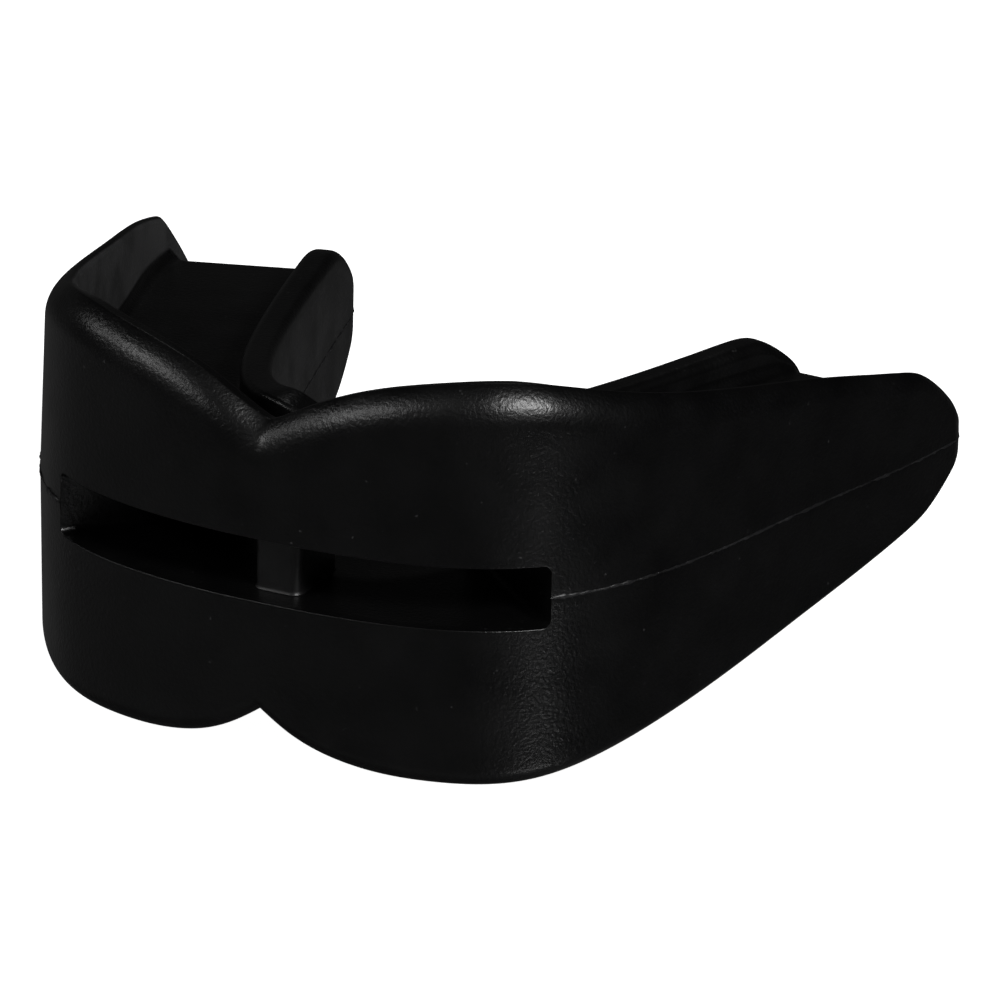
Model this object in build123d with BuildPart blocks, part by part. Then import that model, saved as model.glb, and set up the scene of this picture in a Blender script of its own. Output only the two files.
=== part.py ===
from build123d import *

import os

# A boxer's double mouthguard: two welded rubber mouldings with a breathing channel between them.
# The origin is midway across and midway from front to back, on the weld plane between the mouldings.
# +X is across the mouth, -Y is the front, where the lips are, and +Z is towards the upper teeth.
# The lower moulding is like the upper one turned over, but its walls are not quite as deep.

# Overall size, mm.
WIDTH = 62.0
DEPTH = 46.6
UPPER_HUMP = 15.0  # height of the lip wall's lobes above the bite plane
LOWER_HUMP = 14.3  # the lower moulding is the shallower one
NOTCH = 10.4  # height of the lip wall at the notch for the lip's frenum

# Distances behind the front are turned into the part's own frame with these.
FRONT = -DEPTH / 2
HALF = WIDTH / 2
ARM_SPREAD = 0.6  # how far the corner of an arm's back end would stand out if it were not rounded

# Plan of each arch line as (x, distance behind the front): front centre, canine, premolar, end.
CHEEK_LINE = [(0.0, 0.0), (14.6, 2.7), (23.7, 12.8), (HALF + ARM_SPREAD, DEPTH)]
TROUGH_OUTER_LINE = [(0.0, 2.8), (13.3, 5.2), (21.4, 13.7), (28.9, DEPTH)]
TROUGH_INNER_LINE = [(0.0, 8.0), (5.9, 9.7), (10.1, 16.1), (19.2, DEPTH)]
TONGUE_LINE = [(0.0, 10.2), (4.4, 11.4), (8.0, 16.9), (17.1, DEPTH)]
WALL_DRAFT = 1.5  # degrees that the cheek wall leans in
END_ROUND = 2.6  # plan radius of the corners at the back ends

# Side outline: level hump, straight taper and round nose, by distance behind the front.
TAPER_START = 7.0
TAPER_END = 38.0
TAPER_DROP = 8.1  # how much the lip wall comes down from the hump to the taper's end
HUMP_BLEND = 14.0  # radius between the level hump and the taper

# Front outline of the lip wall.
LOBE_TOP_X = 14.0

# The tongue wall is lower than the lip wall, and its own side outline is a straight taper.
TONGUE_WALL_FRONT = 9.5
TONGUE_WALL_BACK = 5.2

# Bite plate and breathing channel.
CHANNEL_HALF = 2.3  # half the height of the breathing slot
PLATE_TOP = 4.5
SLOT_END = (19.0, 5.4)  # where the slot's end meets the cheek surface
SLOT_END_INSIDE = (7.8, 18.1)  # where the same end face reaches the tongue side
PILLAR_WIDTH = 3.5
PILLAR_FRONT = 2.4
PILLAR_BACK = 8.4
PILLAR_ROUND = 0.6

# Welded joint between the two mouldings, and the bead that it leaves along the outside.
WELD_HALF = 0.15
BEAD = 0.15

CHEEK_RIM_ROUND = 0.8
TONGUE_RIM_ROUND = 0.5
RIM_FACING = 0.7  # a rim face's normal points at least this much upwards
TROUGH_DRAFT = 1.5  # degrees that the trough opens
MARGIN = 3.0  # how far the cutting shapes reach past the part


def arch(line, mode=Mode.ADD):
    """A sketch face of everything inside an arch line."""
    front, canine, premolar, end = [(x, FRONT + back) for x, back in line]
    with BuildLine() as outline:
        lip = TangentArc(front, canine, tangent=(1, 0))
        corner = TangentArc(lip @ 1, premolar, tangent=lip % 1)
        arm = TangentArc(corner @ 1, end, tangent=corner % 1)
        Line(arm @ 1, (0, end[1]))
        mirror(about=Plane.YZ)
    make_face(outline.edges(), mode=mode)


def outline_of(group):
    """The edges that only one face of a group has, so the seams between its faces are left out."""
    shared = group.edges()
    return shared.filter_by(lambda edge: shared.count(edge) == 1)


def rim_faces(guard):
    """The faces along the tops of a moulding's walls."""
    above = PLATE_TOP + TONGUE_RIM_ROUND
    upward = guard.faces().filter_by(lambda face: face.normal_at().Z > RIM_FACING)
    return upward.filter_by(lambda face: face.center().Z > above)


def on_tongue_wall(face):
    """Whether a rim face tops the tongue wall and not the cheek wall."""
    return face.center().Z < TONGUE_WALL_FRONT


def side_outline(hump):
    """The side view above the bite plane: level hump, long taper and rounded back end."""
    start = Vector(FRONT + TAPER_START, hump)
    end = Vector(FRONT + TAPER_END, hump - TAPER_DROP)
    tip = (-FRONT, 0)
    ahead = FRONT - MARGIN
    with BuildLine() as outline:
        FilletPolyline((ahead, hump), start, end, radius=HUMP_BLEND)
        Spline(end, tip, tangents=(end - start, (0, -1)), tangent_scalars=(1.0, 1.3))
        Polyline(tip, (ahead, 0), (ahead, hump))
    make_face(outline.edges())


def front_outline(hump):
    """The front view above the bite plane: two round lobes that meet in the notch."""
    beside = HALF + MARGIN
    with BuildLine() as outline:
        TangentArc((LOBE_TOP_X, hump), (0, NOTCH), tangent=(-1, 0))
        Polyline((LOBE_TOP_X, hump), (beside, hump), (beside, 0), (0, 0))
        mirror(about=Plane.YZ)
    make_face(outline.edges())


def channel_plan(mode=Mode.ADD):
    """The plan of the breathing channel: a wedge that opens towards the lips."""
    end = Vector(SLOT_END[0], FRONT + SLOT_END[1])
    inside = Vector(SLOT_END_INSIDE[0], FRONT + SLOT_END_INSIDE[1])
    outside = end + (end - inside).normalized() * MARGIN * 2
    with BuildLine() as outline:
        Polyline((0, FRONT - MARGIN), (outside.X, FRONT - MARGIN), outside, inside, (0, inside.Y))
        mirror(about=Plane.YZ)
    make_face(outline.edges(), mode=mode)


def footprint():
    """The horseshoe that each moulding covers, with the outer and inner corners of its two ends rounded."""
    arch(CHEEK_LINE)
    arch(TONGUE_LINE, mode=Mode.SUBTRACT)
    fillet(vertices().group_by(Axis.Y)[-1], radius=END_ROUND)


def tongue_wall_trim():
    """What is cut off above the tongue wall, so that it stays lower than the cheek wall."""
    above = UPPER_HUMP + MARGIN
    with BuildPart() as trim:
        with BuildSketch(Plane.YZ):
            with BuildLine():
                Line((FRONT, TONGUE_WALL_FRONT), (-FRONT, TONGUE_WALL_BACK))
                Polyline((-FRONT, TONGUE_WALL_BACK), (-FRONT, above), (FRONT, above), (FRONT, TONGUE_WALL_FRONT))
            make_face()
        extrude(amount=HALF, both=True)
        with BuildSketch(Plane.XY):
            arch(TROUGH_INNER_LINE)
        extrude(amount=above, mode=Mode.INTERSECT)
    return trim.part


def moulding(hump):
    """One moulding above the bite plane: cheek wall, tongue wall and the bite plate that joins them."""
    trim = tongue_wall_trim()
    with BuildPart() as guard:
        with BuildSketch(Plane.XY.offset(WELD_HALF)):
            footprint()
        extrude(amount=hump, taper=WALL_DRAFT)
        with BuildSketch(Plane.YZ):
            side_outline(hump)
        extrude(amount=HALF + MARGIN, both=True, mode=Mode.INTERSECT)
        with BuildSketch(Plane.XZ):
            front_outline(hump)
        extrude(amount=DEPTH, both=True, mode=Mode.INTERSECT)
        add(trim, mode=Mode.SUBTRACT)
        with BuildSketch(Plane.XY.offset(PLATE_TOP)):
            arch(TROUGH_OUTER_LINE)
            arch(TROUGH_INNER_LINE, mode=Mode.SUBTRACT)
        extrude(amount=hump, taper=-TROUGH_DRAFT, mode=Mode.SUBTRACT)
        with BuildSketch(Plane.XY):
            channel_plan()
        extrude(amount=CHANNEL_HALF, mode=Mode.SUBTRACT)
        fillet(outline_of(rim_faces(guard).filter_by(on_tongue_wall)), radius=TONGUE_RIM_ROUND)
        cheek_rim = rim_faces(guard).filter_by(on_tongue_wall, reverse=True)
        fillet(outline_of(cheek_rim), radius=CHEEK_RIM_ROUND)
    return guard


# The two mouldings: the lower one is made the same way up and then turned over.
upper_guard = moulding(UPPER_HUMP)
with BuildPart() as lower_guard:
    add(mirror(moulding(LOWER_HUMP).part, about=Plane.XY, mode=Mode.PRIVATE))

# Pillar that stands between the two bite plates, just behind the lips' slot.
with BuildPart() as centre_pillar:
    with BuildSketch(Plane.XY):
        with Locations((0, FRONT + (PILLAR_FRONT + PILLAR_BACK) / 2)):
            RectangleRounded(PILLAR_WIDTH, PILLAR_BACK - PILLAR_FRONT, PILLAR_ROUND)
    extrude(amount=CHANNEL_HALF, both=True)

# Weld behind each end of the channel: a thin layer between the mouldings, whose bead stands proud all round.
with BuildPart() as welds:
    with BuildSketch(Plane.XY):
        footprint()
        channel_plan(mode=Mode.SUBTRACT)
        offset(amount=BEAD)
    extrude(amount=WELD_HALF, both=True)
with BuildPart() as left_weld_seam:
    add(welds.solids().sort_by(Axis.X)[-1])
with BuildPart() as right_weld_seam:
    add(welds.solids().sort_by(Axis.X)[0])

# Pieces in the order that they would come off a bench.
pieces = {
    "upper_guard": upper_guard,
    "lower_guard": lower_guard,
    "centre_pillar": centre_pillar,
    "left_weld_seam": left_weld_seam,
    "right_weld_seam": right_weld_seam,
}
os.makedirs("parts", exist_ok=True)
for name, piece in pieces.items():
    piece.part.label = name
    export_step(piece.part, f"parts/{name}.step")
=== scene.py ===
import math

import bmesh
import bpy
import numpy as np
from mathutils import Matrix, Vector


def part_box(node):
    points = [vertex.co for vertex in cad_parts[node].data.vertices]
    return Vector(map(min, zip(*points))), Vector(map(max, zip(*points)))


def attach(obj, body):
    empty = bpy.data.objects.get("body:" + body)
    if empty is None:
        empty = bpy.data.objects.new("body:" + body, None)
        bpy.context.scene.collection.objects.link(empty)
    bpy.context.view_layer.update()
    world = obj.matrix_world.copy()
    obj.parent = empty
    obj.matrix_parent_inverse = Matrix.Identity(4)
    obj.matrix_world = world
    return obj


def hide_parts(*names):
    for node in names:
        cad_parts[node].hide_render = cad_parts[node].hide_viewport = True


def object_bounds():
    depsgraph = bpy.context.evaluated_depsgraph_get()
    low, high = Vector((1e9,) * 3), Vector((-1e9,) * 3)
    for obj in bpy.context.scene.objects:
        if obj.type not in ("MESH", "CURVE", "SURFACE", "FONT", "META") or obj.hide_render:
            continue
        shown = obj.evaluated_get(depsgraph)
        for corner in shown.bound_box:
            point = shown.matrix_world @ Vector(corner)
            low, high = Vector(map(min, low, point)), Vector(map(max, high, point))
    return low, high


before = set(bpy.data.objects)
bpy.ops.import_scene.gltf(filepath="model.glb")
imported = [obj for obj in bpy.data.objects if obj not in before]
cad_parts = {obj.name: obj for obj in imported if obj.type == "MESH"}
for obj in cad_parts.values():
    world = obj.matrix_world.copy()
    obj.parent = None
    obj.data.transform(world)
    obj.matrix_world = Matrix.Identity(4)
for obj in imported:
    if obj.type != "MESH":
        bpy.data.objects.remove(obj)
cad_low, cad_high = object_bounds()


# ---------------------------------------------------------------------------
# The camera: a long lens a good metre away, a little above the guard and off
# to the wearer's left of the front teeth, turned by a degree.
CAMERA_AZIMUTH = math.radians(26.44)
CAMERA_ELEVATION = math.radians(22.30)
CAMERA_ROLL = math.radians(1.13)
CAMERA_DISTANCE = 1.194
CAMERA_LENS = 618.7
CAMERA_REACH = 20.0
AIM_BEHIND_FRONT = 0.015
AIM_TO_RIGHT = 0.00969

towards_camera = Vector((
    math.sin(CAMERA_AZIMUTH) * math.cos(CAMERA_ELEVATION),
    -math.cos(CAMERA_AZIMUTH) * math.cos(CAMERA_ELEVATION),
    math.sin(CAMERA_ELEVATION),
))
level_right = Vector((math.cos(CAMERA_AZIMUTH), math.sin(CAMERA_AZIMUTH), 0.0))
level_up = towards_camera.cross(level_right)
camera_right = level_right * math.cos(CAMERA_ROLL) + level_up * math.sin(CAMERA_ROLL)
camera_up = level_up * math.cos(CAMERA_ROLL) - level_right * math.sin(CAMERA_ROLL)
aim = Vector((0.0, cad_low[1] + AIM_BEHIND_FRONT, 0.0)) + camera_right * AIM_TO_RIGHT

camera_data = bpy.data.cameras.new("camera")
camera_data.lens = CAMERA_LENS
camera_data.clip_end = CAMERA_REACH
camera = bpy.data.objects.new("camera", camera_data)
camera.matrix_world = Matrix.Translation(aim + towards_camera * CAMERA_DISTANCE) @ Matrix(
    (camera_right, camera_up, towards_camera)
).transposed().to_4x4()
bpy.context.scene.collection.objects.link(camera)
bpy.context.scene.camera = camera


# ---------------------------------------------------------------------------
# The upper and lower mouldings: two black thermoplastic rubber trays, one for
# each row of teeth, injection moulded and then welded flat side to flat side.
# Each is a trough between a tall cheek wall and a lower tongue wall.

# Sizes are in mm, heights are above the weld plane, and left and right are the wearer's.
MM = 0.001
# Half the width and the depth that the plan lines are drawn to.
HALF_WIDTH = 31.1
DEPTH = 46.5

# Plan lines, as control points sideways from the middle and behind the front, all as if on the left.
# The right arm is a little shorter than the left one on its cheek side.
LEFT_CHEEK = ((0.0, 0.0), (13.1, 0.1), (24.1, 6.6), (27.7, 31.1), (31.0, 40.0), (31.5, 47.1))
RIGHT_CHEEK = ((0.0, 0.0), (13.1, 0.1), (24.1, 6.6), (27.8, 30.6), (31.0, 37.9), (31.0, 43.6))
TROUGH_LINE = ((0.0, 8.0), (1.0, 8.0), (8.0, 5.9), (14.9, 28.9), (19.3, 46.5))
# A place goes from 0 at the middle to 1 at the arm's end. Across the trough from each place on the
# cheek line is this place on the trough line, which the foot of the tongue wall follows.
CHEEK_PLACE = (0.0, 0.05, 0.1, 0.15, 0.3, 0.4, 0.5, 0.6, 0.7, 0.8, 0.9, 1.0)
TROUGH_PLACE = (0.0, 0.33, 0.46, 0.53, 0.60, 0.64, 0.71, 0.79, 0.87, 0.925, 0.965, 1.0)

# Height of the cheek wall's rim against the place on the cheek line.
UPPER_RIM_LEFT = (
    (0.0, 10.5), (0.004, 10.6), (0.02, 11.8), (0.06, 13.9), (0.13, 15.15), (0.25, 15.6),
    (0.42, 12.6), (0.62, 9.7), (0.82, 7.3), (1.0, 5.0),
)
UPPER_RIM_RIGHT = (
    (0.0, 10.5), (0.004, 10.6), (0.02, 11.6), (0.06, 13.6), (0.13, 14.9), (0.25, 15.4),
    (0.42, 12.7), (0.62, 10.1), (0.82, 8.1), (1.0, 5.9),
)
LOWER_RIM = (
    (0.0, 10.7), (0.02, 12.45), (0.06, 13.9), (0.13, 14.15), (0.25, 14.25),
    (0.42, 11.6), (0.62, 8.8), (0.82, 6.2), (1.0, 3.5),
)
# Height of the tongue wall's rim against the place on the trough line.
TONGUE_RIM_LEFT = ((0.0, 8.1), (0.2, 9.7), (0.4, 9.1), (0.6, 7.8), (0.8, 6.4), (1.0, 6.2))
TONGUE_RIM_RIGHT = ((0.0, 8.1), (0.2, 9.7), (0.4, 9.1), (0.6, 8.7), (0.8, 7.2), (1.0, 6.7))
TONGUE_RIM_LOWER = ((0.0, 8.1), (0.2, 9.7), (0.4, 9.1), (0.6, 7.9), (0.8, 6.0), (1.0, 5.4))
# Height of the trough's floor against the place on the cheek line, the share of the height of the
# cheek wall's end that it reaches, how far it stays under both rims, and the least heights at the tip.
TROUGH_FLOOR = ((0.0, 4.5), (0.4, 4.4), (0.7, 4.1), (0.85, 3.4), (1.0, 2.9))
FLOOR_NOSE = 0.86
FLOOR_UNDER_RIM = 0.06
TIP_HEIGHT = 0.2
TIP_FLOOR_SHARE = 0.6

# Thickness of the walls, and how far they lean in for each mm of height.
CHEEK_WALL = ((0.0, 2.8), (0.3, 2.8), (0.5, 1.9), (0.75, 1.3), (1.0, 1.25))
TONGUE_WALL = ((0.0, 2.9), (0.3, 2.8), (0.5, 2.1), (0.75, 2.3), (1.0, 2.6))
FULL_WALL = 2.8
WALL_LEAN = 0.02
TROUGH_LEAN = 0.03
# The rows of points on the cheek wall's face keep level up to this height, just over the slot.
FACE_SHELF = 2.9

# Rim of the cheek wall: a broad shoulder, a crisp ridge, a land that falls inwards, an edge.
# The turns are how far round each goes, and the land falls more steeply along the arms.
UPPER_SHOULDER = 3.5
LOWER_SHOULDER = 1.6
SHOULDER_TURN = math.radians(58.0)
LAND_TURN = math.radians(99.0)
ARM_LAND_TURN = math.radians(135.0)
LAND_TURNS_FROM = 0.22
LAND_TURNS_TO = 0.42
LEAST_LAND = 0.2
RIDGE_ROUND = 0.3
# Radius of the tongue wall's rim against the place on the trough line.
TONGUE_RIM_ROUND = ((0.0, 0.42), (0.5, 0.45), (0.8, 0.7), (1.0, 1.0))
FLOOR_FILLET = 0.9
SLOT_EDGE_ROUND = 0.08
WELD_EDGE_ROUND = 0.12

# The breathing slot. Its ends are places on the cheek line, whose length turns mm into places. Each
# end wall stands within a tiny step of place, and no other section is nearer to it than a clear step.
SLOT_HALF_HEIGHT = 2.3
SLOT_END_LEFT = 0.262
SLOT_END_RIGHT = 0.228
SLOT_CORNER_ROUND = 0.6
SLOT_WALL_STEP = 2e-4
SLOT_CLEAR = 1e-3
CHEEK_LENGTH = 56.0

# The rounded end of an arm: its length, its radius in plan, and how much of that the tongue side has.
NOSE_LENGTH = 10.5
END_CORNER_ROUND = 2.2
TONGUE_END_SHARE = 0.4
# How softly the rims run into it, and how steeply it rises ahead of its own length.
CHEEK_BLEND = 0.35
TONGUE_BLEND = 0.8
NOSE_SLOPE = 0.5
# Height and fullness of each wall's end.
UPPER_NOSE_LEFT = (8.1, 1.45)
UPPER_NOSE_RIGHT = (9.3, 2.3)
LOWER_NOSE = (7.2, 1.27)
UPPER_TONGUE_NOSE = (8.3, 1.6)
LOWER_TONGUE_NOSE = (6.6, 1.5)

# The groove down the middle of the front, which deepens upwards, and the notch that it runs into,
# which is a little off the middle.
GROOVE_DEPTH = 0.2
GROOVE_HALF_WIDTH = 2.4
GROOVE_FULL_HEIGHT = 8.0
GROOVE_SHARES = (0.25, 1.3)
NOTCH_SHIFT = -0.5
NOTCH_SHIFT_REACH = 5.0

# Painted light: a paler, duller colour on the cheek wall's inner side, which starts a little way along
# each arm, and on both sides of the tongue wall, painted where light falls on these sides.
PAINTED_LIGHT_FROM = 0.2
PAINTED_LIGHT_FADE = 0.15
TONGUE_PAINTED_LIGHT = 0.35
TROUGH_PAINTED_LIGHT = 0.12

# The sections stand close together at the notch and over the last part of an arm.
NOTCH_END = 0.06
TIP_SHARE = 0.2
TIP_CROWDING = 1.9
LINE_STEPS = 1600
FRONT_BLEND = 2.0
SHARP_EDGE = math.radians(38.0)


def smooth_line(points):
    """A clamped cubic spline on control points, as a dense row of points."""
    points = np.array(points, float)
    count = len(points)
    knots = np.concatenate([np.zeros(3), np.linspace(0.0, 1.0, count - 2), np.ones(3)])
    at = np.linspace(0.0, 1.0, LINE_STEPS)
    at[-1] = 1.0 - 1e-9
    share = [((knots[i] <= at) & (at < knots[i + 1])).astype(float) for i in range(count + 3)]
    for order in range(1, 4):
        raised = []
        for i in range(count + 3 - order):
            rise = max(knots[i + order] - knots[i], 1e-9)
            fall = max(knots[i + order + 1] - knots[i + 1], 1e-9)
            part = (at - knots[i]) / rise * share[i]
            part = part + (knots[i + order + 1] - at) / fall * share[i + 1]
            raised.append(part)
        share = raised
    return np.array(share).T @ points


def plan_at(line, place):
    """Points on a plan line and its normals towards the tongue, at places from 0 to 1 along it."""
    dense = smooth_line(line)
    grid = np.linspace(0.0, 1.0, len(dense))
    slope = np.gradient(dense, axis=0)
    inward = np.stack([-slope[:, 1], slope[:, 0]], axis=1)
    # The two arms meet square to the front.
    inward[:, 0] *= np.clip(dense[:, 0] / FRONT_BLEND, 0.0, 1.0)
    inward /= np.linalg.norm(inward, axis=1)[:, None]
    spot = np.stack([np.interp(place, grid, dense[:, k]) for k in (0, 1)], axis=1)
    normal = np.stack([np.interp(place, grid, inward[:, k]) for k in (0, 1)], axis=1)
    return spot, normal


def height_at(profile, place):
    """Height of a profile given as (place, height) control points."""
    dense = smooth_line(profile)
    return np.interp(place, dense[:, 0], dense[:, 1])


def lower_of(a, b, blend=CHEEK_BLEND):
    """The lower of two heights, with their meeting rounded over."""
    return 0.5 * (a + b - np.sqrt((a - b) ** 2 + blend**2))


def nose(y, height, power):
    """The rounded end of an arm, as the height that it leaves at depths y, the last of them its tip."""
    start = y[-1] - NOSE_LENGTH
    run = np.clip((y - start) / NOSE_LENGTH, 0.0, 1.0)
    fall = (1.0 - run**power) ** (1.0 / power)
    return np.where(run > 0.0, height * fall, height + NOSE_SLOPE * (start - y))


def end_pull(y):
    """How far the side faces draw in to round an arm's end in plan."""
    past = np.clip((y - (y[-1] - END_CORNER_ROUND)) / END_CORNER_ROUND, 0.0, 1.0)
    return END_CORNER_ROUND * (1.0 - np.sqrt(1.0 - past**2))


def station_places(slot_end):
    """Places along the cheek line, close together at the notch, the slot's end and the nose."""
    corner = SLOT_CORNER_ROUND / CHEEK_LENGTH
    notch = np.linspace(0.0, NOTCH_END, 26)
    body = np.linspace(NOTCH_END, 1.0 - TIP_SHARE, 200)
    tip = 1.0 - TIP_SHARE * (1.0 - np.linspace(0.0, 0.99, 76)) ** TIP_CROWDING
    places = np.unique(np.concatenate([notch, body, tip]))
    places = places[(places < slot_end - corner - SLOT_CLEAR) | (places > slot_end + SLOT_CLEAR)]
    bend = slot_end - corner * (1.0 - np.sin(np.linspace(0.0, math.pi / 2.0, 9)))
    return np.sort(np.concatenate([places, bend, [slot_end + SLOT_WALL_STEP]]))


def arm_loops(cheek_line, rim, tongue_rim, nose_shape, tongue_nose, slot_end, shoulder_round):
    """One arm of a tray: for each place along it a closed loop of (x, y, z, share of painted light) round
    the section.
    """
    places = station_places(slot_end)
    facing = np.interp(places, CHEEK_PLACE, TROUGH_PLACE)
    cheek, cheek_in = plan_at(cheek_line, places)
    trough, trough_in = plan_at(TROUGH_LINE, facing)
    wall = height_at(CHEEK_WALL, places)
    pull = end_pull(cheek[:, 1])
    tongue_pull = TONGUE_END_SHARE * end_pull(trough[:, 1])
    trough = trough + trough_in * tongue_pull[:, None]

    corner = SLOT_CORNER_ROUND / CHEEK_LENGTH
    into_corner = np.clip((places - slot_end + corner) / corner, 0.0, 1.0)
    ceiling = SLOT_HALF_HEIGHT - SLOT_CORNER_ROUND * (1.0 - np.sqrt(1.0 - into_corner**2))
    in_slot = places < slot_end + 0.5 * SLOT_WALL_STEP
    under = np.where(in_slot, ceiling, 0.0)

    top = np.maximum(lower_of(height_at(rim, places), nose(cheek[:, 1], *nose_shape)), TIP_HEIGHT)
    tongue_top = lower_of(height_at(tongue_rim, facing), nose(trough[:, 1], *tongue_nose), TONGUE_BLEND)
    tongue_top = np.maximum(tongue_top, TIP_HEIGHT)
    middle = 0.5 * (cheek[:, 1] + trough[:, 1])
    floor = lower_of(height_at(TROUGH_FLOOR, places), FLOOR_NOSE * nose(middle, *nose_shape))
    floor = np.minimum(floor, np.minimum(top, tongue_top) - FLOOR_UNDER_RIM)
    floor = np.maximum(floor, TIP_FLOOR_SHARE * TIP_HEIGHT)
    edge = np.minimum(np.where(in_slot, SLOT_EDGE_ROUND, WELD_EDGE_ROUND), 0.3 * floor)

    # Each radius is held to a share of its room, so that all shrink together towards the tip.
    cheek_rise = top - floor
    tongue_rise = tongue_top - floor
    broad = np.minimum(shoulder_round * wall / FULL_WALL, 0.6 * (top - under))
    ridge = np.minimum(RIDGE_ROUND, 0.2 * cheek_rise)
    cheek_fillet = np.minimum(FLOOR_FILLET, 0.4 * cheek_rise)
    tongue_fillet = np.minimum(FLOOR_FILLET, 0.45 * tongue_rise)
    back = height_at(TONGUE_WALL, facing) - 2.0 * tongue_pull
    rim_round = np.minimum(height_at(TONGUE_RIM_ROUND, facing), 0.45 * back)
    tongue_round_in = np.minimum(rim_round, 0.5 * tongue_rise)
    tongue_round = np.minimum(rim_round, 0.45 * (tongue_top - under))
    groove = GROOVE_DEPTH * np.exp(-((cheek[:, 0] / GROOVE_HALF_WIDTH) ** 2))

    loop = []
    clean = np.zeros(places.shape)
    painted_light = clean

    def point(base, inward, offset, z):
        offset = np.broadcast_to(offset, z.shape)
        loop.append(np.column_stack([base + inward * offset[:, None], z, painted_light]))

    def face(z):
        return WALL_LEAN * z + pull + groove * np.clip(z / GROOVE_FULL_HEIGHT, *GROOVE_SHARES)

    # Cheek face, from the weld or the slot up to the rim.
    for turn in np.linspace(math.pi / 2.0, 0.0, 5):
        z = under + edge * (1.0 - math.sin(turn))
        point(cheek, cheek_in, face(z) + edge * (1.0 - math.cos(turn)), z)
    low = under + edge
    shoulder = top - ridge * (1.0 - math.sin(SHOULDER_TURN)) - broad * math.sin(SHOULDER_TURN)
    shelf = np.minimum(FACE_SHELF, low + 0.4 * (shoulder - low))
    for share in np.linspace(0.0, 1.0, 6)[1:]:
        z = low + (shelf - low) * share
        point(cheek, cheek_in, face(z), z)
    for share in np.linspace(0.0, 1.0, 15)[1:]:
        z = shelf + (shoulder - shelf) * share
        point(cheek, cheek_in, face(z), z)

    # Rim of the cheek wall.
    start = face(shoulder)
    for turn in np.linspace(0.0, SHOULDER_TURN, 13)[1:]:
        z = shoulder + broad * math.sin(turn)
        point(cheek, cheek_in, start + broad * (1.0 - math.cos(turn)), z)
    crest = start + broad * (1.0 - math.cos(SHOULDER_TURN)) + ridge * math.cos(SHOULDER_TURN)
    land = np.interp(places, (LAND_TURNS_FROM, LAND_TURNS_TO), (LAND_TURN, ARM_LAND_TURN))
    for share in np.linspace(0.0, 1.0, 6)[1:]:
        turn = SHOULDER_TURN + (land - SHOULDER_TURN) * share
        point(cheek, cheek_in, crest - ridge * np.cos(turn), top - ridge * (1.0 - np.sin(turn)))
    # From here down the cheek wall's inner side, the colour carries painted light, which grows along the
    # arm.
    painted_light = np.clip((places - PAINTED_LIGHT_FROM) / PAINTED_LIGHT_FADE, 0.0, 1.0)
    land_from = crest - ridge * np.cos(land)
    inner = np.maximum(start + wall, land_from + LEAST_LAND + ridge)
    land_fall = (inner - ridge - land_from) / np.tan(land)
    edge_top = top - ridge * (1.0 - np.sin(land)) + land_fall
    for share in (0.5, 1.0):
        z = edge_top - land_fall * (1.0 - share)
        point(cheek, cheek_in, land_from + (inner - ridge - land_from) * share, z)
    for share in np.linspace(0.0, 1.0, 6)[1:]:
        turn = land + (math.pi - land) * share
        z = edge_top - ridge * (np.sin(land) - np.sin(turn))
        point(cheek, cheek_in, inner - ridge - ridge * (np.cos(turn) - np.cos(land)), z)
    wall_top = loop[-1][:, 2]
    wall_from = inner - ridge + ridge * (1.0 + np.cos(land))

    # Trough: down the cheek wall, across the floor and up the tongue wall.
    drop = wall_top - floor - cheek_fillet
    for share in np.linspace(0.0, 1.0, 11)[1:]:
        point(cheek, cheek_in, wall_from + TROUGH_LEAN * drop * share, wall_top - drop * share)
    painted_light = clean
    foot = wall_from + TROUGH_LEAN * drop
    for turn in np.linspace(0.0, math.pi / 2.0, 6)[1:]:
        z = floor + cheek_fillet * (1.0 - math.sin(turn))
        point(cheek, cheek_in, foot + cheek_fillet * (1.0 - math.cos(turn)), z)
    from_cheek = loop[-1][:, :2]
    to_tongue = trough - trough_in * tongue_fillet[:, None]
    for share in np.linspace(0.0, 1.0, 12)[1:-1]:
        loop.append(np.column_stack([from_cheek * (1.0 - share) + to_tongue * share, floor, clean]))
    for turn in np.linspace(0.0, math.pi / 2.0, 6):
        z = floor + tongue_fillet * (1.0 - math.cos(turn))
        point(trough, trough_in, -tongue_fillet * (1.0 - math.sin(turn)), z)
    # The tongue wall's trough side carries a little painted light.
    painted_light = clean + TROUGH_PAINTED_LIGHT
    climb = tongue_rise - tongue_round_in - tongue_fillet
    for share in np.linspace(0.0, 1.0, 7)[1:]:
        point(trough, trough_in, 0.0, floor + tongue_fillet + climb * share)

    # Rounded rim of the tongue wall, then its tongue side down to the weld or the slot.
    painted_light = clean
    for turn in np.linspace(0.0, math.pi / 2.0, 8)[1:]:
        z = tongue_top - tongue_round_in * (1.0 - math.sin(turn))
        point(trough, trough_in, tongue_round_in * (1.0 - math.cos(turn)), z)
    for turn in np.linspace(0.0, math.pi / 2.0, 8):
        z = tongue_top - tongue_round * (1.0 - math.cos(turn))
        point(trough, trough_in, back - tongue_round * (1.0 - math.sin(turn)), z)
    # The tongue side carries more painted light.
    painted_light = clean + TONGUE_PAINTED_LIGHT
    fall = tongue_top - tongue_round - low
    for share in np.linspace(0.0, 1.0, 12)[1:]:
        point(trough, trough_in, back, tongue_top - tongue_round - fall * share)
    for turn in np.linspace(0.0, math.pi / 2.0, 5)[1:]:
        z = under + edge * (1.0 - math.sin(turn))
        point(trough, trough_in, back - edge * (1.0 - math.cos(turn)), z)

    # Underside, back to the cheek face.
    tongue_corner = loop[-1][:, :2]
    cheek_corner = loop[0][:, :2]
    for share in np.linspace(0.0, 1.0, 16)[1:-1]:
        loop.append(np.column_stack([tongue_corner * (1.0 - share) + cheek_corner * share, under, clean]))
    return np.array(loop).transpose(1, 0, 2)


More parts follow.
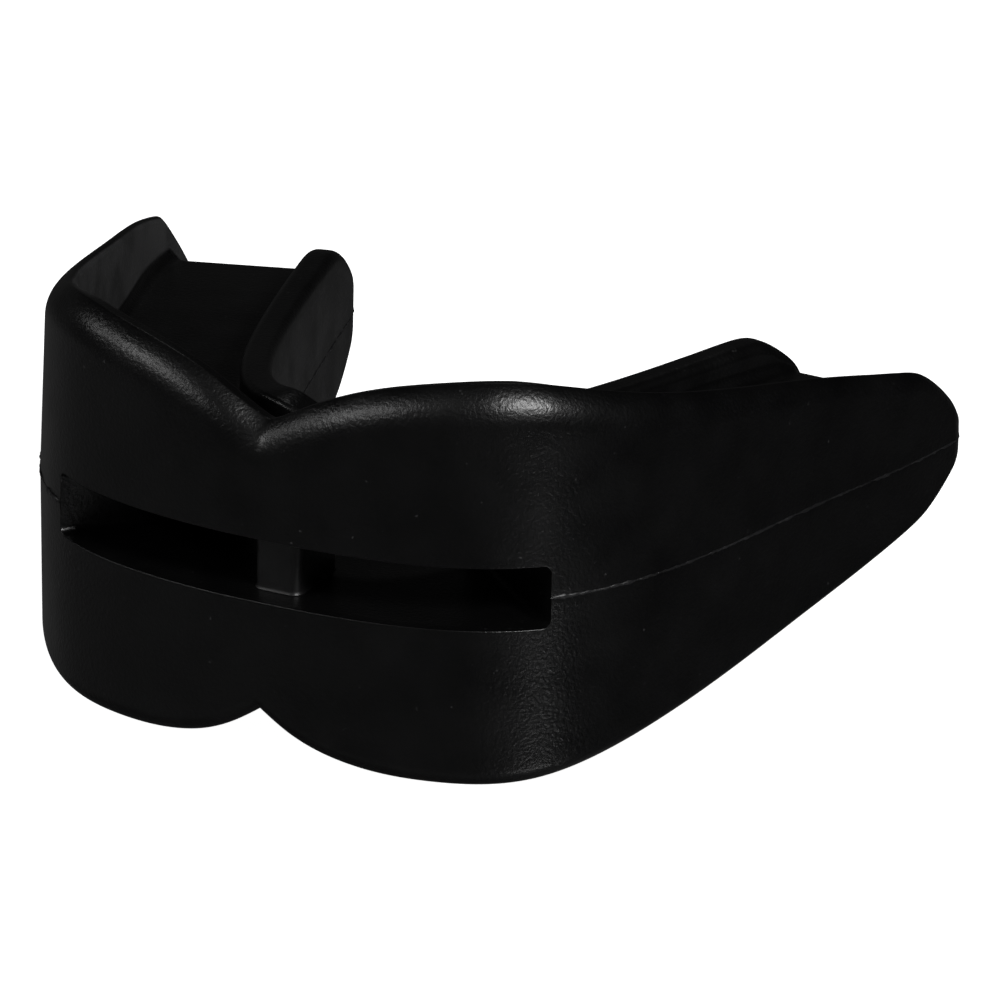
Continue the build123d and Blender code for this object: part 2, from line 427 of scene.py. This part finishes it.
def to_frame(points):
    """From mm behind the front and above the weld plane to metres in the object's frame."""
    points = np.array(points, float)
    points[..., 0] *= 0.5 * (cad_high[0] - cad_low[0]) / HALF_WIDTH
    points[..., 1] = cad_low[1] + points[..., 1] * (cad_high[1] - cad_low[1]) / DEPTH
    points[..., 2] *= MM
    return points


def closed_mesh(name, points, faces, painted_light):
    """A smooth-shaded mesh object at the origin, with its faces turned outwards."""
    mesh = bpy.data.meshes.new(name)
    mesh.from_pydata([tuple(spot) for spot in points], [], faces)
    # Each point keeps its share of painted light for the material.
    mesh.attributes.new("painted_light", "FLOAT", "POINT").data.foreach_set("value", painted_light)
    work = bmesh.new()
    work.from_mesh(mesh)
    bmesh.ops.remove_doubles(work, verts=work.verts, dist=1e-7)
    bmesh.ops.dissolve_degenerate(work, edges=work.edges, dist=1e-8)
    bmesh.ops.recalc_face_normals(work, faces=work.faces)
    work.to_mesh(mesh)
    work.free()
    mesh.shade_smooth()
    mesh.set_sharp_from_angle(angle=SHARP_EDGE)
    piece = bpy.data.objects.new(name, mesh)
    bpy.context.scene.collection.objects.link(piece)
    return piece


def ring_faces(rings, per_ring):
    """Quads between closed rings of points, and one face over each end."""
    faces = []
    for ring in range(rings - 1):
        for k in range(per_ring):
            after = (k + 1) % per_ring
            here = ring * per_ring
            there = here + per_ring
            faces.append((here + k, here + after, there + after, there + k))
    faces.append(tuple(range(per_ring)))
    faces.append(tuple(range((rings - 1) * per_ring, rings * per_ring)))
    return faces


def moulding(name, right_side, left_side, shoulder_round, up):
    """A whole tray, above the weld plane when up is 1 and below it when up is -1.

    A side is its cheek rim, its tongue rim and the shapes of the two walls' ends.
    """
    right = arm_loops(RIGHT_CHEEK, *right_side, SLOT_END_RIGHT, shoulder_round)
    left = arm_loops(LEFT_CHEEK, *left_side, SLOT_END_LEFT, shoulder_round)
    right[:, :, 0] *= -1.0
    loops = np.concatenate([right[::-1], left[1:]])
    loops[:, :, 0] += NOTCH_SHIFT * np.exp(-((loops[:, :, 0] / NOTCH_SHIFT_REACH) ** 2))
    loops[:, :, 2] *= up
    points = to_frame(loops[:, :, :3]).reshape(-1, 3)
    faces = ring_faces(loops.shape[0], loops.shape[1])
    return closed_mesh(name, points, faces, loops[:, :, 3].ravel())


# Skin of moulded rubber: how many cells to a metre the fine grain, the broad mottling and the pale
# specks have, the parts of their noise that show, and how much the mottling adds to the grain.
SKIN_SCALES = (("Grain Scale", 3500.0), ("Mottle Scale", 260.0), ("Speck Scale", 2400.0))
MOTTLE_WINDOW = (0.28, 0.72)
SPECK_WINDOW = (0.77, 0.82)
MOTTLE_IN_HEIGHT = 0.6


def skin_group():
    """A node group that gives the skin's height, mottling and specks."""
    tree = bpy.data.node_groups.new("moulded skin", "ShaderNodeTree")
    face = tree.interface
    for label, value in SKIN_SCALES:
        socket = face.new_socket(label, in_out="INPUT", socket_type="NodeSocketFloat")
        socket.default_value = value
    for label in ("Height", "Mottle", "Speck"):
        face.new_socket(label, in_out="OUTPUT", socket_type="NodeSocketFloat")
    nodes = tree.nodes
    links = tree.links
    source = nodes.new("NodeGroupInput")
    result = nodes.new("NodeGroupOutput")
    place = nodes.new("ShaderNodeTexCoord")

    def noise(scale_socket, detail, roughness):
        node = nodes.new("ShaderNodeTexNoise")
        node.inputs["Detail"].default_value = detail
        node.inputs["Roughness"].default_value = roughness
        links.new(place.outputs["Object"], node.inputs["Vector"])
        links.new(source.outputs[scale_socket], node.inputs["Scale"])
        return node.outputs["Fac"]

    def window(value, low, high):
        node = nodes.new("ShaderNodeMapRange")
        node.inputs["From Min"].default_value = low
        node.inputs["From Max"].default_value = high
        links.new(value, node.inputs["Value"])
        return node.outputs["Result"]

    fine = noise("Grain Scale", 2.0, 0.55)
    broad = noise("Mottle Scale", 3.0, 0.5)
    blend = nodes.new("ShaderNodeMath")
    blend.operation = "MULTIPLY_ADD"
    blend.inputs[1].default_value = MOTTLE_IN_HEIGHT
    links.new(broad, blend.inputs[0])
    links.new(fine, blend.inputs[2])
    links.new(blend.outputs[0], result.inputs["Height"])
    links.new(window(broad, *MOTTLE_WINDOW), result.inputs["Mottle"])
    links.new(window(noise("Speck Scale", 1.0, 0.4), *SPECK_WINDOW), result.inputs["Speck"])
    return tree


moulded_skin = skin_group()

# The specks, and the painted light on the walls' inner and tongue sides, which is patchy as the mottling
# is.
SPECK_COLOUR = (0.03, 0.03, 0.031, 1.0)
SPECK_SHARE = 0.5
PAINTED_LIGHT_COLOUR = (0.018, 0.018, 0.0185, 1.0)
PAINTED_LIGHT_ROUGHNESS = 0.7
PAINTED_LIGHT_WINDOW = (0.25, 0.75)
PAINTED_LIGHT_SHARES = (0.35, 1.1)
RUBBER_IOR = 1.5


def rubber(name, dark, light, smooth, matt, grain_depth):
    """Black thermoplastic rubber: its two tones, its two roughnesses and its grain's depth in metres."""
    material = bpy.data.materials.new(name)
    material.use_nodes = True
    nodes = material.node_tree.nodes
    links = material.node_tree.links
    shader = nodes["Principled BSDF"]
    skin = nodes.new("ShaderNodeGroup")
    skin.node_tree = moulded_skin

    tone = nodes.new("ShaderNodeMix")
    tone.data_type = "RGBA"
    tone.inputs["A"].default_value = (*dark, 1.0)
    tone.inputs["B"].default_value = (*light, 1.0)
    links.new(skin.outputs["Mottle"], tone.inputs["Factor"])

    dusty = nodes.new("ShaderNodeMix")
    dusty.data_type = "RGBA"
    dusty.inputs["B"].default_value = SPECK_COLOUR
    weight = nodes.new("ShaderNodeMath")
    weight.operation = "MULTIPLY"
    weight.inputs[1].default_value = SPECK_SHARE
    links.new(skin.outputs["Speck"], weight.inputs[0])
    links.new(weight.outputs[0], dusty.inputs["Factor"])
    links.new(tone.outputs["Result"], dusty.inputs["A"])

    # The painted light is patchy, paler than the rubber and duller: a lighter colour painted where light
    # falls.
    painted_light = nodes.new("ShaderNodeAttribute")
    painted_light.attribute_name = "painted_light"
    patchy_light = nodes.new("ShaderNodeMapRange")
    patchy_light.inputs["From Min"].default_value = PAINTED_LIGHT_WINDOW[0]
    patchy_light.inputs["From Max"].default_value = PAINTED_LIGHT_WINDOW[1]
    patchy_light.inputs["To Min"].default_value = PAINTED_LIGHT_SHARES[0]
    patchy_light.inputs["To Max"].default_value = PAINTED_LIGHT_SHARES[1]
    links.new(skin.outputs["Mottle"], patchy_light.inputs["Value"])
    painted_light_weight = nodes.new("ShaderNodeMath")
    painted_light_weight.operation = "MULTIPLY"
    links.new(painted_light.outputs["Fac"], painted_light_weight.inputs[0])
    links.new(patchy_light.outputs["Result"], painted_light_weight.inputs[1])
    lightened_tone = nodes.new("ShaderNodeMix")
    lightened_tone.data_type = "RGBA"
    lightened_tone.inputs["B"].default_value = PAINTED_LIGHT_COLOUR
    links.new(painted_light_weight.outputs[0], lightened_tone.inputs["Factor"])
    links.new(dusty.outputs["Result"], lightened_tone.inputs["A"])
    links.new(lightened_tone.outputs["Result"], shader.inputs["Base Color"])

    gloss = nodes.new("ShaderNodeMapRange")
    gloss.inputs["To Min"].default_value = smooth
    gloss.inputs["To Max"].default_value = matt
    links.new(skin.outputs["Mottle"], gloss.inputs["Value"])
    dulled = nodes.new("ShaderNodeMix")
    dulled.data_type = "FLOAT"
    dulled.inputs["B"].default_value = PAINTED_LIGHT_ROUGHNESS
    links.new(painted_light.outputs["Fac"], dulled.inputs["Factor"])
    links.new(gloss.outputs["Result"], dulled.inputs["A"])
    links.new(dulled.outputs["Result"], shader.inputs["Roughness"])

    bump = nodes.new("ShaderNodeBump")
    bump.inputs["Strength"].default_value = 1.0
    bump.inputs["Distance"].default_value = grain_depth
    links.new(skin.outputs["Height"], bump.inputs["Height"])
    links.new(bump.outputs["Normal"], shader.inputs["Normal"])
    shader.inputs["IOR"].default_value = RUBBER_IOR
    return material


GUARD_DARK = (0.0012, 0.0012, 0.0013)
GUARD_LIGHT = (0.0018, 0.0018, 0.0019)
guard_rubber = rubber("guard rubber", GUARD_DARK, GUARD_LIGHT, 0.29, 0.37, 3.7e-5)

upper_right = (UPPER_RIM_RIGHT, TONGUE_RIM_RIGHT, UPPER_NOSE_RIGHT, UPPER_TONGUE_NOSE)
upper_left = (UPPER_RIM_LEFT, TONGUE_RIM_LEFT, UPPER_NOSE_LEFT, UPPER_TONGUE_NOSE)
lower_side = (LOWER_RIM, TONGUE_RIM_LOWER, LOWER_NOSE, LOWER_TONGUE_NOSE)
upper_tray = moulding("upper_tray", upper_right, upper_left, UPPER_SHOULDER, 1.0)
lower_tray = moulding("lower_tray", lower_side, lower_side, LOWER_SHOULDER, -1.0)
for tray, node in ((upper_tray, "upper_guard"), (lower_tray, "lower_guard")):
    tray.data.materials.append(guard_rubber)
    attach(tray, "root")
    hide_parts(node)


# ---------------------------------------------------------------------------
# The pillar that stands in the middle of the breathing slot and joins the two
# trays. It is moulded in the same rubber, with rounded corners and a small
# flare where it meets the slot's roof and floor.

# Its corners' radius, its flare, and how far its ends are buried in the trays.
PILLAR_CORNER = 0.7
PILLAR_FLARE = 0.2
PILLAR_BURY = 0.25
# Its two tones are painted paler than the trays' rubber, though it is the same rubber: painted light on
# the pillar.
PILLAR_DARK = (0.004, 0.004, 0.0042)
PILLAR_LIGHT = (0.007, 0.007, 0.0073)

pillar_low, pillar_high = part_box("centre_pillar")
pillar_middle = [0.5 * (pillar_low[k] + pillar_high[k]) for k in range(3)]
pillar_half = [0.5 * (pillar_high[k] - pillar_low[k]) for k in range(3)]


def pillar_ring(z, grow):
    """A rounded oblong round the pillar at a height z, grown outwards by a flare in metres."""
    ring = []
    corner = PILLAR_CORNER * MM + grow
    for quarter in range(4):
        side_x = 1.0 if quarter in (0, 3) else -1.0
        side_y = 1.0 if quarter in (0, 1) else -1.0
        centre_x = pillar_middle[0] + side_x * (pillar_half[0] - PILLAR_CORNER * MM)
        centre_y = pillar_middle[1] + side_y * (pillar_half[1] - PILLAR_CORNER * MM)
        for turn in np.linspace(0.0, math.pi / 2.0, 7):
            angle = quarter * math.pi / 2.0 + turn
            ring.append((centre_x + corner * math.cos(angle), centre_y + corner * math.sin(angle), z))
    return ring


# From the buried foot to the buried head, with the flares as quarter rounds.
pillar_rings = []
for share in np.linspace(-1.0, 1.0, 33):
    z = pillar_middle[2] + share * (pillar_half[2] + PILLAR_BURY * MM)
    near_end = max(0.0, PILLAR_FLARE * MM - (pillar_half[2] - abs(z - pillar_middle[2])))
    near_end = min(near_end, PILLAR_FLARE * MM)
    flare = PILLAR_FLARE * MM - math.sqrt(max((PILLAR_FLARE * MM) ** 2 - near_end**2, 0.0))
    pillar_rings.append(pillar_ring(z, flare))
pillar_points = np.array(pillar_rings).reshape(-1, 3)
pillar_faces = ring_faces(len(pillar_rings), len(pillar_rings[0]))
pillar = closed_mesh("pillar", pillar_points, pillar_faces, np.zeros(len(pillar_points)))
pillar_lit_rubber = rubber("pillar rubber", PILLAR_DARK, PILLAR_LIGHT, 0.36, 0.5, 1.3e-5)
pillar.data.materials.append(pillar_lit_rubber)
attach(pillar, "root")
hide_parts("centre_pillar")


# ---------------------------------------------------------------------------
# The weld seams: where the two trays were welded, each arm has a fine line of
# squeezed-out rubber, uneven and in places rubbed down, with small burrs on it.

# The bead's radius, how deep its middle lies under the skin, and the step between its rings.
BEAD_RADIUS = 0.13
BEAD_SINK = 0.05
BEAD_STEP = 0.16
# How far in place past the slot's end the line starts, and the place where it turns inwards.
SEAM_START = 0.002
SEAM_TURN = 0.9995
SEAM_STEPS = 280
# Shares of the full radius: where the bead is thin and thick, and beside the slot and further on,
# which is past this share of the seam's length.
SWELL_SCALE = 700.0
SWELL_WINDOW = (0.36, 0.64)
SWELL_SHARES = (0.35, 1.15)
BESIDE_SLOT = (1.9, 1.0)
BESIDE_SLOT_END = 0.085
# How finely and how far the bead's skin is pushed about.
UNEVEN_SCALE = 2600.0
UNEVEN_DEPTH = 0.2
# About one in six of the places for a burr has one.
BURR_STEP = 0.28
BURR_SHARE = 0.16
BURR_RADIUS = 0.075
BURR_SIZES = (0.5, 1.6)
# The bead's two tones are painted paler than the trays' rubber that it is squeezed from: a painted
# highlight along the seam.
WELD_DARK = (0.005, 0.005, 0.0052)
WELD_LIGHT = (0.009, 0.009, 0.0095)


def seam_path(cheek_line, slot_end, mirror):
    """The weld line from the slot's front end round the arm to its end on the tongue side."""
    places = np.linspace(slot_end + SEAM_START, SEAM_TURN, SEAM_STEPS)
    facing = np.interp(places, CHEEK_PLACE, TROUGH_PLACE)
    cheek, cheek_in = plan_at(cheek_line, places)
    trough, trough_in = plan_at(TROUGH_LINE, facing)
    outside = cheek + cheek_in * (end_pull(cheek[:, 1]) + BEAD_SINK)[:, None]
    back = height_at(TONGUE_WALL, facing) - TONGUE_END_SHARE * end_pull(trough[:, 1]) - BEAD_SINK
    inside = trough + trough_in * back[:, None]
    plan = np.concatenate([outside, inside[::-1]])
    path = np.column_stack([plan[:, 0] * mirror, plan[:, 1], np.zeros(len(plan))])
    return to_frame(path)


def bead_tree():
    """Geometry nodes that turn a line of points into a weld bead with burrs."""
    tree = bpy.data.node_groups.new("weld bead", "GeometryNodeTree")
    face = tree.interface
    face.new_socket("Geometry", in_out="INPUT", socket_type="NodeSocketGeometry")
    inputs = (
        ("Bead Radius", "NodeSocketFloat", BEAD_RADIUS * MM),
        ("Burr Radius", "NodeSocketFloat", BURR_RADIUS * MM),
        ("Burr Share", "NodeSocketFloat", BURR_SHARE),
        ("Seed", "NodeSocketInt", 7),
        ("Material", "NodeSocketMaterial", None),
    )
    for label, kind, value in inputs:
        socket = face.new_socket(label, in_out="INPUT", socket_type=kind)
        if value is not None:
            socket.default_value = value
    face.new_socket("Geometry", in_out="OUTPUT", socket_type="NodeSocketGeometry")
    nodes = tree.nodes
    links = tree.links
    source = nodes.new("NodeGroupInput")
    result = nodes.new("NodeGroupOutput")

    def add(kind, **settings):
        node = nodes.new(kind)
        for key, value in settings.items():
            setattr(node, key, value)
        return node

    line = add("GeometryNodeMeshToCurve")
    links.new(source.outputs["Geometry"], line.inputs["Mesh"])
    even = add("GeometryNodeResampleCurve", mode="LENGTH")
    even.inputs["Length"].default_value = BEAD_STEP * MM
    links.new(line.outputs["Curve"], even.inputs["Curve"])

    # The bead swells and fades along its length, and is widest beside the slot.
    position = add("GeometryNodeInputPosition")
    swell = add("ShaderNodeTexNoise")
    swell.inputs["Scale"].default_value = SWELL_SCALE
    swell.inputs["Detail"].default_value = 3.0
    links.new(position.outputs[0], swell.inputs["Vector"])
    thick = add("ShaderNodeMapRange")
    thick.inputs["From Min"].default_value = SWELL_WINDOW[0]
    thick.inputs["From Max"].default_value = SWELL_WINDOW[1]
    thick.inputs["To Min"].default_value = SWELL_SHARES[0]
    thick.inputs["To Max"].default_value = SWELL_SHARES[1]
    links.new(swell.outputs["Fac"], thick.inputs["Value"])
    along = add("GeometryNodeSplineParameter")
    beside_slot = add("ShaderNodeMapRange")
    beside_slot.inputs["From Min"].default_value = 0.0
    beside_slot.inputs["From Max"].default_value = BESIDE_SLOT_END
    beside_slot.inputs["To Min"].default_value = BESIDE_SLOT[0]
    beside_slot.inputs["To Max"].default_value = BESIDE_SLOT[1]
    links.new(along.outputs["Factor"], beside_slot.inputs["Value"])
    both = add("ShaderNodeMath", operation="MULTIPLY")
    links.new(thick.outputs["Result"], both.inputs[0])
    links.new(beside_slot.outputs["Result"], both.inputs[1])
    radius = add("ShaderNodeMath", operation="MULTIPLY")
    links.new(both.outputs[0], radius.inputs[0])
    links.new(source.outputs["Bead Radius"], radius.inputs[1])

    # A ten-sided tube whose skin is pushed about by a finer noise.
    profile = add("GeometryNodeCurvePrimitiveCircle")
    profile.inputs["Resolution"].default_value = 10
    profile.inputs["Radius"].default_value = 1.0
    tube = add("GeometryNodeCurveToMesh")
    tube.inputs["Fill Caps"].default_value = True
    links.new(even.outputs["Curve"], tube.inputs["Curve"])
    links.new(radius.outputs[0], tube.inputs["Scale"])
    links.new(profile.outputs["Curve"], tube.inputs["Profile Curve"])
    rough = add("ShaderNodeTexNoise")
    rough.inputs["Scale"].default_value = UNEVEN_SCALE
    rough.inputs["Detail"].default_value = 2.0
    links.new(position.outputs[0], rough.inputs["Vector"])
    centred = add("ShaderNodeVectorMath", operation="SUBTRACT")
    centred.inputs[1].default_value = (0.5, 0.5, 0.5)
    links.new(rough.outputs["Color"], centred.inputs[0])
    shift = add("ShaderNodeVectorMath", operation="SCALE")
    shift.inputs["Scale"].default_value = UNEVEN_DEPTH * MM
    links.new(centred.outputs[0], shift.inputs[0])
    uneven = add("GeometryNodeSetPosition")
    links.new(tube.outputs["Mesh"], uneven.inputs["Geometry"])
    links.new(shift.outputs[0], uneven.inputs["Offset"])

    # Burrs: little crumbs of rubber that stand on some of the bead's points.
    spots = add("GeometryNodeCurveToPoints", mode="LENGTH")
    spots.inputs["Length"].default_value = BURR_STEP * MM
    links.new(line.outputs["Curve"], spots.inputs["Curve"])
    chosen = add("FunctionNodeRandomValue", data_type="BOOLEAN")
    links.new(source.outputs["Burr Share"], chosen.inputs["Probability"])
    links.new(source.outputs["Seed"], chosen.inputs["Seed"])
    crumb = add("GeometryNodeMeshIcoSphere")
    crumb.inputs["Subdivisions"].default_value = 2
    links.new(source.outputs["Burr Radius"], crumb.inputs["Radius"])
    size = add("FunctionNodeRandomValue", data_type="FLOAT_VECTOR")
    size.inputs["Min"].default_value = (BURR_SIZES[0],) * 3
    size.inputs["Max"].default_value = (BURR_SIZES[1],) * 3
    links.new(source.outputs["Seed"], size.inputs["Seed"])
    burrs = add("GeometryNodeInstanceOnPoints")
    links.new(spots.outputs["Points"], burrs.inputs["Points"])
    links.new(chosen.outputs[3], burrs.inputs["Selection"])
    links.new(crumb.outputs["Mesh"], burrs.inputs["Instance"])
    links.new(size.outputs[0], burrs.inputs["Scale"])

    together = add("GeometryNodeJoinGeometry")
    links.new(burrs.outputs["Instances"], together.inputs["Geometry"])
    links.new(uneven.outputs["Geometry"], together.inputs["Geometry"])
    real = add("GeometryNodeRealizeInstances")
    links.new(together.outputs["Geometry"], real.inputs["Geometry"])
    smooth = add("GeometryNodeSetShadeSmooth")
    links.new(real.outputs["Geometry"], smooth.inputs["Geometry"])
    finish = add("GeometryNodeSetMaterial")
    links.new(smooth.outputs["Geometry"], finish.inputs["Geometry"])
    links.new(source.outputs["Material"], finish.inputs["Material"])
    links.new(finish.outputs["Geometry"], result.inputs["Geometry"])
    return tree


weld_bead = bead_tree()
weld_highlight_rubber = rubber("weld rubber", WELD_DARK, WELD_LIGHT, 0.3, 0.5, 1.5e-5)
for name, node, cheek_line, slot_end, mirror, seed in (
    ("left_weld_bead", "left_weld_seam", LEFT_CHEEK, SLOT_END_LEFT, 1.0, 7),
    ("right_weld_bead", "right_weld_seam", RIGHT_CHEEK, SLOT_END_RIGHT, -1.0, 19),
):
    path = seam_path(cheek_line, slot_end, mirror)
    edges = [(k, k + 1) for k in range(len(path) - 1)]
    line_mesh = bpy.data.meshes.new(name + "_line")
    line_mesh.from_pydata([tuple(spot) for spot in path], edges, [])
    line = bpy.data.objects.new(name + "_line", line_mesh)
    bpy.context.scene.collection.objects.link(line)
    modifier = line.modifiers.new("bead", "NODES")
    modifier.node_group = weld_bead
    for item in weld_bead.interface.items_tree:
        if item.in_out == "INPUT" and item.name == "Seed":
            modifier[item.identifier] = seed
        if item.in_out == "INPUT" and item.name == "Material":
            modifier[item.identifier] = weld_highlight_rubber
    evaluated = line.evaluated_get(bpy.context.evaluated_depsgraph_get())
    bead_mesh = bpy.data.meshes.new_from_object(evaluated)
    bpy.data.objects.remove(line)
    bead = bpy.data.objects.new(name, bead_mesh)
    bpy.context.scene.collection.objects.link(bead)
    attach(bead, "root")
    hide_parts(node)


# ---------------------------------------------------------------------------
# The floor: a wide, pale, matt sheet under the guard. It glows evenly, so that
# there is hardly a shadow on it, and it neither shows in the guard's gloss nor
# shades the lamps.
FLOOR_REACH = 3.0
FLOOR_GREY = 0.8

floor_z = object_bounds()[0][2]
floor_corners = [
    (-FLOOR_REACH, -FLOOR_REACH, floor_z),
    (FLOOR_REACH, -FLOOR_REACH, floor_z),
    (FLOOR_REACH, FLOOR_REACH, floor_z),
    (-FLOOR_REACH, FLOOR_REACH, floor_z),
]
floor_mesh = bpy.data.meshes.new("floor")
floor_mesh.from_pydata(floor_corners, [], [(0, 1, 2, 3)])
floor = bpy.data.objects.new("floor", floor_mesh)
bpy.context.scene.collection.objects.link(floor)
floor_material = bpy.data.materials.new("pale floor")
floor_material.use_nodes = True
floor_shader = floor_material.node_tree.nodes["Principled BSDF"]
floor_shader.inputs["Base Color"].default_value = (FLOOR_GREY, FLOOR_GREY, FLOOR_GREY, 1.0)
floor_shader.inputs["Roughness"].default_value = 0.9
floor_shader.inputs["Specular IOR Level"].default_value = 0.0
floor_shader.inputs["Emission Color"].default_value = (1.0, 1.0, 1.0, 1.0)
floor_shader.inputs["Emission Strength"].default_value = 1.0
floor_mesh.materials.append(floor_material)
floor.visible_glossy = False
floor.visible_shadow = False


# ---------------------------------------------------------------------------
# Soft studio light: three softboxes above the front and the sides, a low strip
# on the near side and two weak panels behind, in a dim room. Left and right are
# as the camera sees them. All stand at one distance from the guard, in metres.
LIGHT_DISTANCE = 0.8


def softbox(name, direction, width, height, watts):
    """An area light that faces the guard from a direction, with its size in metres."""
    light = bpy.data.lights.new(name, "AREA")
    light.shape = "RECTANGLE"
    light.size = width
    light.size_y = height
    light.energy = watts
    lamp = bpy.data.objects.new(name, light)
    away = Vector(direction).normalized()
    facing = away.to_track_quat("Z", "Y").to_matrix().to_4x4()
    lamp.matrix_world = Matrix.Translation(away * LIGHT_DISTANCE) @ facing
    bpy.context.scene.collection.objects.link(lamp)


softbox("front softbox", (-0.48, -0.64, 0.56), 0.40, 0.11, 1.05)
softbox("left softbox", (-0.84, -0.28, 0.46), 0.2, 0.12, 0.28)
softbox("right softbox", (0.65, -0.39, 0.62), 0.18, 0.18, 4.8)
softbox("low right strip", (0.74, -0.40, -0.66), 0.10, 0.14, 0.28)
softbox("back low panel", (0.15, 0.91, -0.36), 0.2, 0.3, 0.01)
softbox("back top panel", (-0.20, 0.60, 0.78), 0.12, 0.12, 0.09)

# The room is darkest above the guard and lightest in a band part of the way down, more so on the
# left. A band is its place from high to low and its grey. The camera itself sees plain white.
ROOM_LEAN = (-0.45, 0.0, -1.0)
ROOM_FROM = -0.25
ROOM_TOP = 0.004
ROOM_BOTTOM = 0.02
ROOM_BANDS = ((0.26, 0.022), (0.64, 0.026), (0.74, 0.075), (0.82, 0.09), (0.93, 0.025))

world = bpy.data.worlds.new("studio")
bpy.context.scene.world = world
world.use_nodes = True
room = world.node_tree
background = room.nodes["Background"]
direction = room.nodes.new("ShaderNodeTexCoord")
lean = room.nodes.new("ShaderNodeVectorMath")
lean.operation = "DOT_PRODUCT"
lean.inputs[1].default_value = ROOM_LEAN
rise = room.nodes.new("ShaderNodeMapRange")
rise.inputs["From Min"].default_value = ROOM_FROM
rise.inputs["From Max"].default_value = 1.0
bands = room.nodes.new("ShaderNodeValToRGB")
ramp = bands.color_ramp
for place, grey in ROOM_BANDS:
    ramp.elements.new(place).color = (grey, grey, grey, 1.0)
ramp.elements[0].color = (ROOM_TOP, ROOM_TOP, ROOM_TOP, 1.0)
ramp.elements[-1].color = (ROOM_BOTTOM, ROOM_BOTTOM, ROOM_BOTTOM, 1.0)
ray = room.nodes.new("ShaderNodeLightPath")
level = room.nodes.new("ShaderNodeMix")
level.data_type = "FLOAT"
level.inputs["B"].default_value = 1.0
room.links.new(direction.outputs["Generated"], lean.inputs[0])
room.links.new(lean.outputs["Value"], rise.inputs["Value"])
room.links.new(ray.outputs["Is Camera Ray"], level.inputs["Factor"])
room.links.new(rise.outputs["Result"], bands.inputs["Fac"])
room.links.new(bands.outputs["Color"], level.inputs["A"])
room.links.new(level.outputs["Result"], background.inputs["Strength"])
background.inputs["Color"].default_value = (1.0, 1.0, 1.0, 1.0)
bpy.context.scene.view_settings.view_transform = "Standard"
